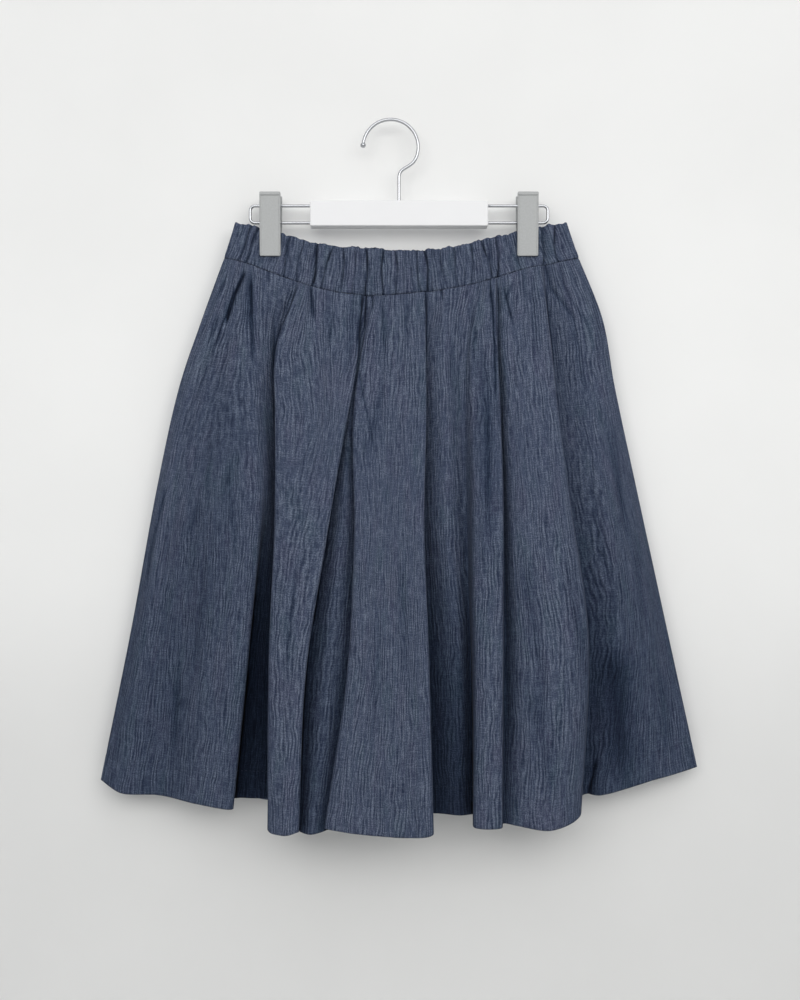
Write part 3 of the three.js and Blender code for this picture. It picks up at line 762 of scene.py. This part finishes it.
def tube_piece(name, points, radius, sides=20):
    """A round wire along points in the plane of the hanger, with flat ends."""
    points = np.asarray(points, float)
    tangents = np.gradient(points, axis=0)
    tangents /= np.linalg.norm(tangents, axis=1, keepdims=True)
    side = np.array([0, 1.0, 0])
    vertices = []
    for point, tangent in zip(points, tangents):
        across = np.cross(tangent, side)
        for k in range(sides):
            angle = 2 * math.pi * k / sides
            ring = (side * math.cos(angle) + across * math.sin(angle)) * radius
            vertices.append((point + ring) * MM)
    return piece_from(name, vertices, capped_faces(len(points), sides), smooth=True)


def arc_points(centre_x, centre_z, radius, start, end, steps):
    """Points along an arc in the hanger's plane, between two angles in degrees."""
    angles = np.radians(np.linspace(start, end, steps + 1))
    return [
        np.array([centre_x + radius * math.cos(a), 0, centre_z + radius * math.sin(a)])
        for a in angles
    ]


def hook_route():
    """The hook wire's middle: the hook's sweep, a bend into the neck, and the stem."""
    centre_z = HOOK_WIRE_RADIUS - math.sqrt(HOOK_RADIUS ** 2 - HOOK_CENTRE_X ** 2)
    sweep = arc_points(HOOK_CENTRE_X, centre_z, HOOK_RADIUS, HOOK_TIP_ANGLE, HOOK_NECK_ANGLE, 72)
    angle = math.radians(HOOK_NECK_ANGLE)
    start = sweep[-1]
    leave = start + 14 * np.array([math.sin(angle), 0, -math.cos(angle)])
    arrive = np.array([0, 0, NECK_FOOT_Z + 12.0])
    foot = np.array([0, 0, float(NECK_FOOT_Z)])
    neck = []
    for t in np.linspace(0, 1, 25)[1:]:
        neck.append((1 - t) ** 3 * start + 3 * (1 - t) ** 2 * t * leave
                    + 3 * (1 - t) * t ** 2 * arrive + t ** 3 * foot)
    stem = [np.array([0, 0, z]) for z in np.linspace(NECK_FOOT_Z, STEM_END_Z, 8)[1:]]
    return sweep + neck + stem


def loop_route():
    """The wire loop's middle, open inside the bar, with its four round corners."""
    x = LOOP_HALF_LENGTH - LOOP_CORNER_RADIUS
    r = LOOP_CORNER_RADIUS
    corners = [
        arc_points(-x, LOOP_TOP_Z - r, r, 90, 180, 12),
        arc_points(-x, LOOP_BOTTOM_Z + r, r, 180, 270, 12),
        arc_points(x, LOOP_BOTTOM_Z + r, r, -90, 0, 12),
        arc_points(x, LOOP_TOP_Z - r, r, 0, 90, 12),
    ]
    route = [np.array([-LOOP_END_X, 0, LOOP_TOP_Z])]
    for corner in corners:
        gap = corner[0] - route[-1]
        count = max(int(np.linalg.norm(gap) // 12), 1)
        route += [route[-1] + gap * k / count for k in range(1, count)]
        route += corner
    route.append(np.array([LOOP_END_X, 0, LOOP_TOP_Z]))
    return route


def ball_piece(name, centre, radius):
    mesh = bpy.data.meshes.new(name)
    shape = bmesh.new()
    bmesh.ops.create_uvsphere(shape, u_segments=24, v_segments=16, radius=radius * MM)
    bmesh.ops.translate(shape, verts=shape.verts, vec=Vector(centre) * MM)
    shape.to_mesh(mesh)
    shape.free()
    mesh.shade_smooth()
    return placed(name, mesh)


def outline_rings(outline, depth, edge, steps=5):
    """Rings of a plate with rounded edges: its outline set in, at each depth from face to face."""
    outline = np.asarray(outline, float)
    around = np.roll(outline, -1, axis=0) - np.roll(outline, 1, axis=0)
    around /= np.linalg.norm(around, axis=1, keepdims=True) + 1e-12
    inward = np.stack([-around[:, 1], around[:, 0]], -1)
    rings = []
    for angle in np.linspace(0, math.pi / 2, steps):
        inset = inward * edge * (1 - math.sin(angle))
        rings.append((outline + inset, edge * (1 - math.cos(angle))))
    return rings + [(ring, depth - at) for ring, at in reversed(rings)]


def plate_piece(name, outline, depth, edge, place):
    """A plate with rounded edges. place turns its (x, height, depth) into a point."""
    rings = outline_rings(outline, depth, edge)
    vertices = [Vector(place(x, height, at)) * MM for ring, at in rings for x, height in ring]
    piece = piece_from(name, vertices, capped_faces(len(rings), len(outline)))
    for polygon in piece.data.polygons:
        polygon.use_smooth = len(polygon.vertices) == 4
    return piece


def rounded_outline(half_width, bottom, top, corner, crown=0, steps=8):
    """A rectangle with round corners, and with a slightly arched top."""
    points = []
    corners = [
        (half_width - corner, bottom + corner, -90),
        (half_width - corner, top - corner, 0),
        (-half_width + corner, top - corner, 90),
        (-half_width + corner, bottom + corner, 180),
    ]
    for k, (x, height, start) in enumerate(corners):
        for angle in np.radians(np.linspace(start, start + 90, steps + 1)):
            points.append((x + corner * math.cos(angle), height + corner * math.sin(angle)))
        if k == 1 and crown:
            for x_share in np.linspace(1, -1, 33)[1:-1]:
                arch = crown * (1 - x_share ** 2)
                points.append(((half_width - corner) * x_share, top + arch))
    return points


def bar_piece():
    def place(x, z, depth):
        return (x, BAR_DEPTH / 2 - depth, z)

    outline = rounded_outline(BAR_HALF_LENGTH, BAR_BOTTOM_Z, BAR_TOP_Z, BAR_CORNER, crown=BAR_CROWN)
    return plate_piece("bar", outline, BAR_DEPTH, BAR_EDGE, place)


def jaw_piece(name, x, side):
    """A clip's jaw: a plate that leans out from the waistband, with a lip and two side ridges."""
    lean = math.radians(CLIP_LEAN)
    bottom = CLIP_TOP_Z - CLIP_HEIGHT

    def place(across, height, out):
        tilted_out = out * math.cos(lean) + height * math.sin(lean)
        tilted_up = height * math.cos(lean) - out * math.sin(lean)
        return (x + across, -side * (CLIP_JAW_OUT + tilted_out), bottom + tilted_up)

    def flipped(across, height, out):
        return place(-across, height, out)

    put = place if side > 0 else flipped
    half = CLIP_WIDTH / 2
    plate = rounded_outline(half, 0, CLIP_HEIGHT, CLIP_CORNER)
    lip = rounded_outline(half - 0.1, CLIP_HEIGHT - CLIP_LIP_HEIGHT, CLIP_HEIGHT + 0.2, 1.3)
    ridge = rounded_outline(0.85, 1.6, CLIP_HEIGHT - 3, 0.8)
    parts = [
        plate_piece(name, plate, CLIP_PLATE, 0.75, put),
        plate_piece(name + "_lip", lip, CLIP_LIP_DEPTH, 1.0, put),
    ]
    for shift in (CLIP_RIDGE_INSET - half, half - CLIP_RIDGE_INSET):
        moved = [(u + shift, v) for u, v in ridge]
        parts.append(plate_piece(name + "_edge", moved, CLIP_RIDGE_DEPTH, 0.7, put))
    return join(name, parts)


def join(name, parts):
    """One mesh from several pieces."""
    shape = bmesh.new()
    for part in parts:
        shape.from_mesh(part.data)
        bpy.data.objects.remove(part)
    mesh = bpy.data.meshes.new(name)
    shape.to_mesh(mesh)
    shape.free()
    return placed(name, mesh)


class Nodes:
    """Short ways to add and link the nodes of a material or a world."""

    def __init__(self, owner, output="ShaderNodeOutputMaterial"):
        owner.use_nodes = True
        self.owner = owner
        self.tree = owner.node_tree
        self.tree.nodes.clear()
        self.output = self.add(output)

    def add(self, kind, inputs=None, **settings):
        node = self.tree.nodes.new(kind)
        for key, value in settings.items():
            setattr(node, key, value)
        for key, value in (inputs or {}).items():
            if isinstance(value, bpy.types.NodeSocket):
                self.tree.links.new(value, node.inputs[key])
            else:
                node.inputs[key].default_value = value
        return node

    def maths(self, operation, a, b=0.0):
        return self.add("ShaderNodeMath", {0: a, 1: b}, operation=operation).outputs[0]

    def times(self, a, b):
        return self.maths("MULTIPLY", a, b)

    def plus(self, a, b):
        return self.maths("ADD", a, b)

    def vectors(self, operation, a, b):
        return self.add("ShaderNodeVectorMath", {0: a, 1: b}, operation=operation).outputs[0]

    def coordinate(self, vector, axis):
        return self.add("ShaderNodeSeparateXYZ", {0: vector}).outputs[axis]

    def noise(self, vector, scale=1.0, detail=2.0):
        inputs = {"Vector": vector, "Scale": scale, "Detail": detail, "Roughness": 0.5}
        return self.add("ShaderNodeTexNoise", inputs, noise_dimensions="3D").outputs["Fac"]

    def threads(self, uv, across, along, detail):
        """Noise drawn out along the warp, with so many cells a metre across it and along it."""
        return self.noise(self.vectors("MULTIPLY", uv, (across, along, 1)), detail=detail)

    def ranged(self, value, low, high, to_low, to_high, smooth=True):
        kind = "SMOOTHSTEP" if smooth else "LINEAR"
        inputs = {
            "Value": value, "From Min": low, "From Max": high, "To Min": to_low, "To Max": to_high,
        }
        return self.add("ShaderNodeMapRange", inputs, interpolation_type=kind).outputs["Result"]

    def blend(self, factor, a, b, kind="MIX"):
        node = self.add("ShaderNodeMix", {"Factor": factor}, data_type="RGBA", blend_type=kind)
        for index, value in ((6, a), (7, b)):
            if isinstance(value, bpy.types.NodeSocket):
                self.tree.links.new(value, node.inputs[index])
            else:
                node.inputs[index].default_value = value
        return node.outputs[2]

    def mottle(self, low, high, scale, detail=3):
        """A value or a colour that drifts from low to high over an object's surface."""
        place = self.add("ShaderNodeTexCoord").outputs["Object"]
        noise = self.noise(place, scale=scale, detail=detail)
        if isinstance(low, tuple):
            return self.blend(self.ranged(noise, 0.3, 0.7, 0.0, 1.0), low, high)
        return self.ranged(noise, 0.3, 0.7, low, high)

    def mixed(self, factor, a, b):
        """A number that goes from a to b with factor."""
        return self.plus(self.times(factor, self.maths("SUBTRACT", b, a)), a)

    def shade(self, **inputs):
        keys = {key.replace("_", " "): value for key, value in inputs.items()}
        shader = self.add("ShaderNodeBsdfPrincipled", keys)
        self.tree.links.new(shader.outputs[0], self.output.inputs["Surface"])
        return shader


def linear(red, green, blue):
    """An sRGB colour from 0 to 255 as a linear one."""
    shares = [v / 255 for v in (red, green, blue)]
    return (*(v / 12.92 if v < 0.04045 else ((v + 0.055) / 1.055) ** 2.4 for v in shares), 1.0)


# The cloth's own colours, before light; the light and deep ones also paint light on the ribs'
# crests and shade in their grooves
CLOTH_BASE = linear(71, 80, 101)
CLOTH_DEEP = linear(34, 43, 63)
CLOTH_LIGHT = linear(126, 136, 154)
CLOTH_VIOLET = linear(79, 78, 101)
CLOTH_GREEN = linear(63, 83, 94)

# Painted shade: how much each part of the colour, red, green and blue, is darkened where the cloth
# is less open, so that the painted shade turns bluer
SHADE_POWERS = {"X": 1.1, "Y": 0.93, "Z": 0.76}


def crinkled_cloth():
    """A crinkled warp in mixed blues, with straying ribs painted lighter on their crests and darker
    in their grooves, light and dark threads along it, and painted shade from the open UV layer.
    """
    n = Nodes(bpy.data.materials.new("crinkled_cloth"))
    fields = []
    for layer in ("cut", "cut_top"):
        uv = n.add("ShaderNodeUVMap", uv_map=layer).outputs[0]
        sway = n.maths("SUBTRACT", n.threads(uv, 26, 64, 1), 0.5)
        moved = n.add("ShaderNodeCombineXYZ", {"X": n.times(sway, 0.002)}).outputs[0]
        uv = n.vectors("ADD", uv, moved)
        wander = n.times(n.threads(uv, 55, 12, 1), RIB_WANDER)
        wiggle = n.times(n.threads(uv, 260, 50, 0), RIB_WIGGLE)
        turn = n.times(n.coordinate(uv, "X"), 2 * math.pi * RIBS_A_METRE)
        ribs = n.maths("SINE", n.plus(turn, n.plus(wander, wiggle)))
        fade = n.threads(uv, 200, 26, 0)
        short = n.threads(uv, 800, 85, 1)
        long = n.threads(uv, 660, 15, 1)
        grain = n.threads(uv, 950, 900, 0)
        weft = n.threads(uv, 90, 800, 0)
        patches = n.threads(uv, 60, 16, 2)
        fields.append((ribs, fade, short, long, grain, weft, patches))
    uv = n.add("ShaderNodeUVMap", uv_map="cut").outputs[0]
    low = n.ranged(n.coordinate(uv, "Y"), 0.06, 0.3, 0.0, 1.0)
    ribs, fade, short, long, grain, weft, patches = (
        n.mixed(low, top, bottom) for bottom, top in zip(*fields)
    )
    fade = n.ranged(fade, 0.36, 0.6, 0.1, 1.0)
    colour = CLOTH_BASE
    for field, least, most, share, tint in (
        (patches, 0.5, 0.66, 0.4, CLOTH_VIOLET),
        (patches, 0.46, 0.32, 0.4, CLOTH_GREEN),
        (long, 0.53, 0.63, 0.24, CLOTH_LIGHT),
        (long, 0.47, 0.36, 0.22, CLOTH_DEEP),
        (short, 0.5, 0.62, 0.3, CLOTH_LIGHT),
        (short, 0.5, 0.38, 0.32, CLOTH_DEEP),
        # Painted light on the ribs' crests and painted shade in their grooves
        (ribs, 0.1, 1.0, 0.37, CLOTH_LIGHT),
        (ribs, -0.4, -0.98, 0.74, CLOTH_DEEP),
        (weft, 0.52, 0.64, 0.18, CLOTH_LIGHT),
        (grain, 0.38, 0.62, 0.55, CLOTH_DEEP),
    ):
        tinted = n.ranged(field, least, most, 0.0, share, smooth=field is not grain)
        if field is ribs:
            tinted = n.times(tinted, fade)
        colour = n.blend(tinted, colour, tint)
    # Painted shade from the open UV layer, multiplied into the colour
    painted_light_share = n.coordinate(n.add("ShaderNodeUVMap", uv_map="open").outputs[0], "X")
    shades = {axis: n.maths("POWER", painted_light_share, power) for axis, power in SHADE_POWERS.items()}
    shaded = n.add("ShaderNodeCombineXYZ", shades).outputs[0]
    colour = n.blend(1.0, colour, shaded, kind="MULTIPLY")
    height = n.plus(n.times(short, 0.6), n.times(long, 0.6))
    rib_height = n.times(n.ranged(ribs, -1.0, 0.0, 0.0, 0.35), fade)
    height = n.plus(height, rib_height)
    height = n.plus(height, n.times(grain, 0.2))
    bump = n.add("ShaderNodeBump", {"Height": height, "Strength": 0.7, "Distance": 0.0011})
    n.shade(
        Base_Color=colour, Normal=bump.outputs[0], Roughness=0.92, Specular_IOR_Level=0.12,
        Sheen_Weight=0.08, Sheen_Roughness=0.5, Sheen_Tint=linear(170, 178, 200),
    )
    return n.owner


def plain_material(name, **inputs):
    """A material of one shader. An input is its value, or a list of arguments for mottle."""
    n = Nodes(bpy.data.materials.new(name))
    n.shade(**{key: n.mottle(*v) if isinstance(v, list) else v for key, v in inputs.items()})
    return n.owner


def wall_material():
    """A pale wall, seen from the front only, that lets light from behind reach the back, with
    painted shade: darker towards the bottom and a little darker towards the top.
    """
    n = Nodes(bpy.data.materials.new("pale_wall"))
    tone = n.mottle((0.86, 0.86, 0.85, 1), (0.88, 0.88, 0.87, 1), 6.0)
    # Painted shade: the wall's colour is darker towards the bottom, where the skirt's shadow and
    # the fall of the light lie, and a little darker towards the top
    height = n.coordinate(n.add("ShaderNodeTexCoord").outputs["Object"], "Z")
    painted_low_shade = n.ranged(height, -0.66, -0.42, 0.88, 1.0)
    upper = n.ranged(height, -0.3, 0.1, 1.0, 0.935)
    level = n.times(painted_low_shade, upper)
    painted_light_levels = n.add("ShaderNodeCombineXYZ", {"X": level, "Y": level, "Z": level}).outputs[0]
    tone = n.blend(1.0, tone, painted_light_levels, kind="MULTIPLY")
    shader = n.shade(Base_Color=tone, Roughness=0.9, Specular_IOR_Level=0.1)
    behind = n.add("ShaderNodeNewGeometry").outputs["Backfacing"]
    through = n.maths("MAXIMUM", behind, n.add("ShaderNodeLightPath").outputs["Is Shadow Ray"])
    clear = n.add("ShaderNodeBsdfTransparent")
    pick = n.add("ShaderNodeMixShader", {0: through, 1: shader.outputs[0], 2: clear.outputs[0]})
    n.tree.links.new(pick.outputs[0], n.output.inputs["Surface"])
    return n.owner


def wear(piece, material):
    piece.data.materials.clear()
    piece.data.materials.append(material)


def backdrop(name, low_corner, high_corner, material):
    """A rectangle behind or under the part, between its corners at (y, z)."""
    corners = []
    for (y, z), ends in ((low_corner, (-1, 1)), (high_corner, (1, -1))):
        corners += [Vector((end * STAGE_HALF_WIDTH, y, z)) * MM for end in ends]
    mesh = bpy.data.meshes.new(name)
    mesh.from_pydata(corners, [], [(0, 1, 2, 3)])
    piece = placed(name, mesh)
    wear(piece, material)


def area_light(name, place, target, size, power, colour):
    """A rectangular light at place, turned to target. Places and sizes are metres."""
    light = bpy.data.lights.new(name, "AREA")
    light.shape = "RECTANGLE"
    light.size, light.size_y = size
    light.energy = power
    light.color = colour
    holder = placed(name, light)
    holder.location = place
    holder.rotation_euler = (Vector(target) - Vector(place)).to_track_quat("-Z", "Y").to_euler()


def finish_piece(piece, material, node):
    """Dress a piece, attach it to the root body, and hide the solid it stands for."""
    wear(piece, material)
    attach(piece, "root")
    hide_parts(node)


cloth = crinkled_cloth()
thread = plain_material(
    "sewing_thread", Base_Color=linear(44, 52, 70), Roughness=0.8, Specular_IOR_Level=0.2
)
steel = plain_material(
    "polished_steel", Base_Color=(0.46, 0.47, 0.49, 1), Metallic=1.0, Roughness=[0.16, 0.26, 900.0]
)
lacquer = plain_material(
    "white_lacquer", Base_Color=linear(229, 229, 230), Roughness=[0.36, 0.44, 60.0, 2],
    Specular_IOR_Level=0.45,
)
clip_finish = plain_material(
    "satin_clip", Base_Color=[linear(160, 162, 162), linear(166, 168, 168), 700.0, 2],
    Roughness=[0.3, 0.42, 700.0, 2], Specular_IOR_Level=0.5,
)
floor_finish = plain_material(
    "pale_floor", Base_Color=[(0.74, 0.74, 0.73, 1), (0.78, 0.78, 0.77, 1), 5.0],
    Roughness=0.85, Specular_IOR_Level=0.2,
)

# The skirt's panels and its waistband
front, front_face = panel_piece(
    "front_panel", FRONT_FOLDS, 1, *FRONT_GRID, FRONT_CREASES, FRONT_LAPS, SEED
)
back, back_face = panel_piece(
    "back_panel", BACK_FOLDS, -1, *BACK_GRID, BACK_CREASES, [], SEED + 200
)
band_front = band_piece("front_waistband", FRONT_FOLDS, 1, *FRONT_BAND_GRID)
band_back = band_piece("back_waistband", BACK_FOLDS, -1, *BACK_BAND_GRID)
for piece, node in (
    (front, "skirt_front"),
    (back, "skirt_back"),
    (band_front, "waistband_front"),
    (band_back, "waistband_back"),
):
    finish_piece(piece, cloth, node)

# Stitches along the top row of each hem
for name, surface in (("front", front_face), ("back", back_face)):
    stitches = stitch_row(name + "_hem_stitches", surface[-HEM_ROWS])
    wear(stitches, thread)
    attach(stitches, "root")

# The hanger
hook_body = tube_piece("hook_wire", hook_route(), HOOK_WIRE_RADIUS)
hook_ball = ball_piece("hook_ball", hook_route()[0], HOOK_BALL_RADIUS)
hook = join("hanger_hook_wire", [hook_body, hook_ball])
hook.data.shade_smooth()
finish_piece(hook, steel, "hanger_hook")
loop = tube_piece("hanger_loop", loop_route(), LOOP_WIRE_RADIUS)
finish_piece(loop, steel, "hanger_wire_loop")
finish_piece(bar_piece(), lacquer, "hanger_bar")
for side_name, x in (("left", -CLIP_X), ("right", CLIP_X)):
    for face_name, side in (("front", 1), ("back", -1)):
        jaw = jaw_piece(f"clip_jaw_{side_name}_{face_name}", x, side)
        finish_piece(jaw, clip_finish, f"clip_{side_name}_{face_name}_jaw")
    saddle = bpy.data.objects[f"clip_{side_name}_saddle"]
    for material_slot in saddle.material_slots:
        material_slot.material = clip_finish

# The wall, the floor, the light and the camera
backdrop("wall", (WALL_Y, FLOOR_Z), (WALL_Y, WALL_TOP_Z), wall_material())
backdrop("floor", (STAGE_FRONT_Y, FLOOR_Z), (STAGE_BACK_Y, FLOOR_Z), floor_finish)
area_light("key", (0.15, -1.7, 0.35), (0.0, 0.0, -0.35), (3.0, 0.9), 21.5, (1.0, 0.99, 0.975))
area_light("top", (0.0, -1.3, 1.5), (0.0, 0.0, -0.3), (2.6, 1.0), 8, (0.97, 0.98, 1.0))
area_light("back", (0.0, 1.9, 0.5), (0.0, 0.0, -0.35), (2.4, 1.2), 16, (0.97, 0.98, 1.0))
sky = Nodes(bpy.data.worlds.new("soft_studio"), "ShaderNodeOutputWorld")
height = sky.coordinate(sky.add("ShaderNodeTexCoord").outputs["Generated"], "Z")
strength = sky.ranged(height, -0.6, 0.8, 0.4, 0.56, smooth=False)
glow = sky.add("ShaderNodeBackground", {"Color": (0.97, 0.985, 1.0, 1), "Strength": strength})
sky.tree.links.new(glow.outputs[0], sky.output.inputs["Surface"])
bpy.context.scene.world = sky.owner
bpy.context.scene.view_settings.view_transform = "Standard"

lens = bpy.data.cameras.new("camera")
lens.sensor_fit = "VERTICAL"
lens.angle_y = 2 * math.atan(IMAGE_HEIGHT_PX / 2 / FOCAL_PX)
camera = placed("camera", lens)
camera.location = (CAMERA_X * MM, -CAMERA_DISTANCE * MM, CAMERA_Z * MM)
camera.rotation_euler = (math.pi / 2, 0, 0)
bpy.context.scene.camera = camera
